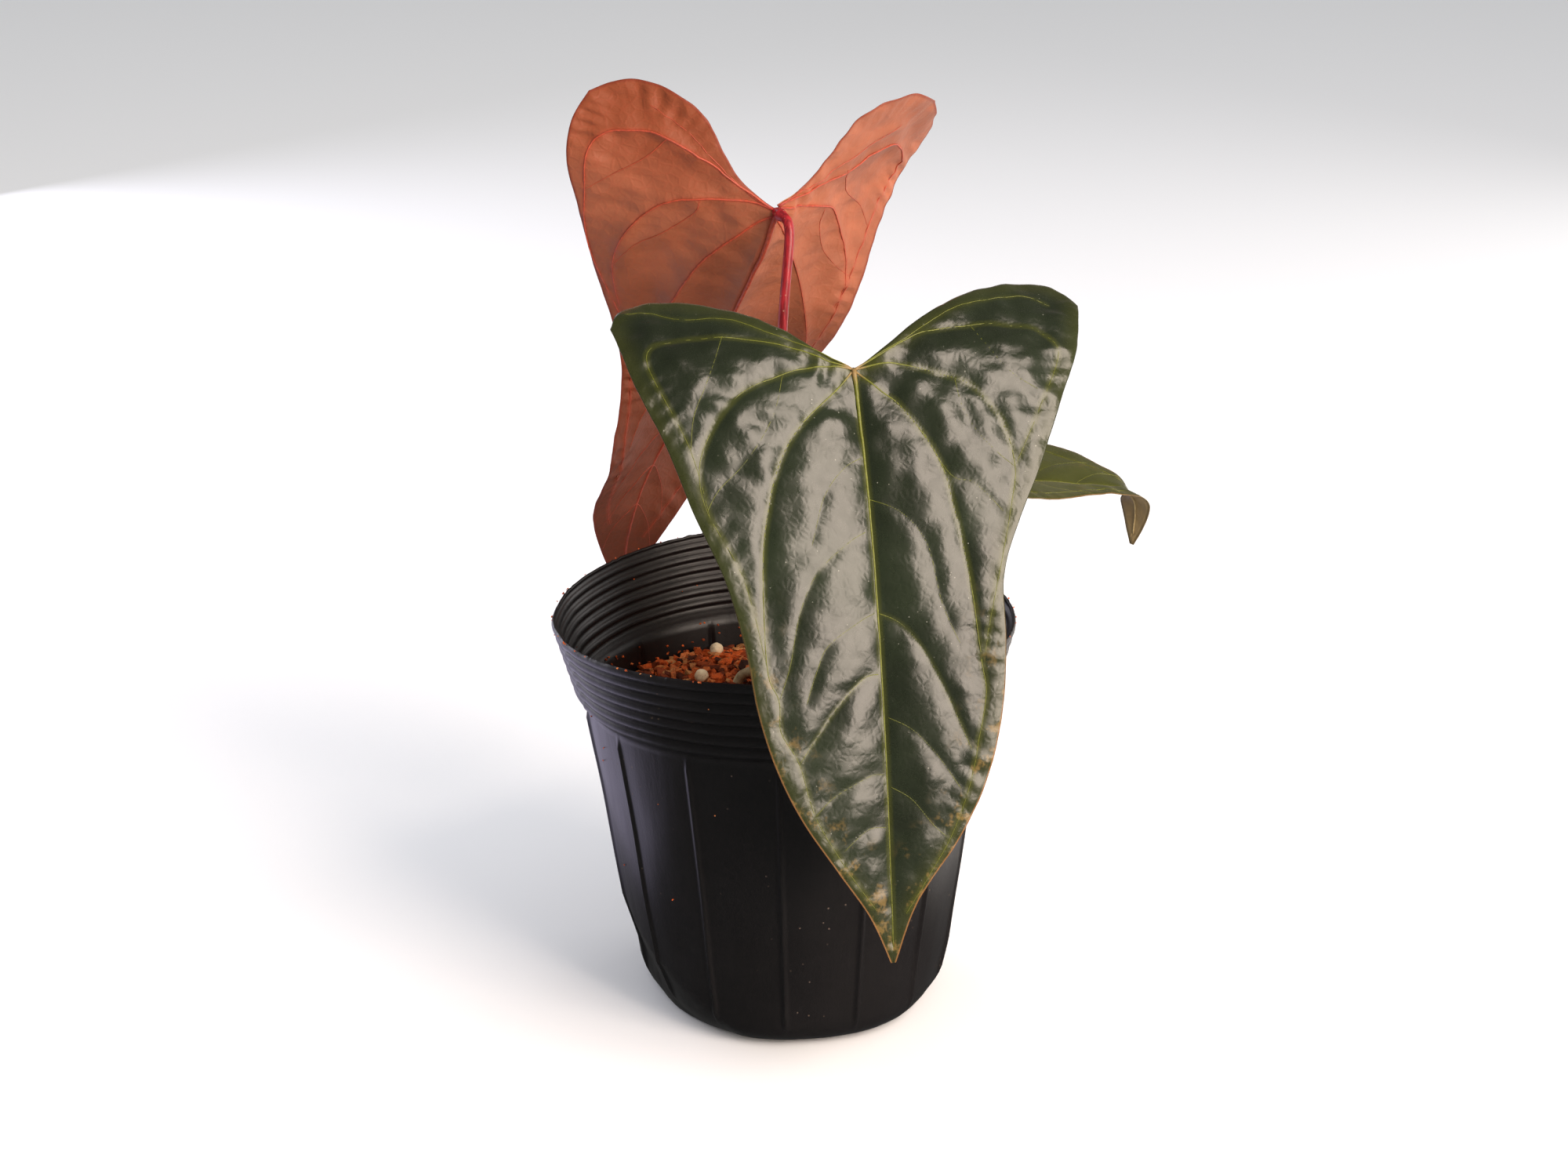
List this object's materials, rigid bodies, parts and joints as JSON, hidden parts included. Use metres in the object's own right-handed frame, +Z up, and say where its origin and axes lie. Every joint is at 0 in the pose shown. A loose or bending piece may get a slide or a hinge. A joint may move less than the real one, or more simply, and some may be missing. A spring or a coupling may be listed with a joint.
{
  "type": "potted anthurium",
  "caption": "Young anthurium with long heart-shaped leaves on slender stalks, growing from a short stem in bark mix in a ribbed black nursery pot.",
  "frame": {"origin": "on the flat underside of the pot's base, straight below the middle of the rim", "axes": "+Z up; the largest leaf leans out over the rim on the -Y side, the smallest leaf points to +X"},
  "size_m": [0.1944, 0.2047, 0.2974],
  "materials": {
    "pot_plastic": "black polythene with a soft gloss, a little dusty",
    "mix": "damp orange-brown bark and coco chips, matt",
    "stem": "olive and brown, ringed, matt",
    "green_stalk": "smooth green-brown stalk, satin",
    "red_stalk": "smooth crimson stalk, satin",
    "dark_blade": "dark blue-green leaf, satin, with yellow-green veins",
    "bronze_blade": "salmon and copper leaf underside with red veins, satin",
    "green_blade": "mid green leaf, satin",
    "root": "cream fleshy root, matt",
    "sheath": "dry papery brown scale",
    "clay_ball": "cream round ball, matt",
    "bark_chip": "rough red-brown bark"
  },
  "bodies": {
    "root": {"pot": "pot_plastic", "potting_mix": "mix", "stem": "stem", "front_petiole": "green_stalk", "back_petiole": "red_stalk", "side_petiole": "green_stalk", "front_blade": "dark_blade", "back_blade": "bronze_blade", "side_blade": "green_blade", "root_1": "root", "root_2": "root", "root_3": "root", "root_4": "root", "sheath_1": "sheath", "sheath_2": "sheath", "sheath_3": "sheath", "ball_1": "clay_ball", "ball_2": "clay_ball", "ball_3": "clay_ball", "ball_4": "clay_ball", "ball_5": "clay_ball", "ball_6": "clay_ball", "ball_7": "clay_ball", "chip_1": "bark_chip", "chip_2": "bark_chip", "chip_3": "bark_chip", "chip_4": "bark_chip", "chip_5": "bark_chip", "chip_6": "bark_chip", "chip_7": "bark_chip", "chip_8": "bark_chip", "chip_9": "bark_chip"}
  },
  "joints": []
}
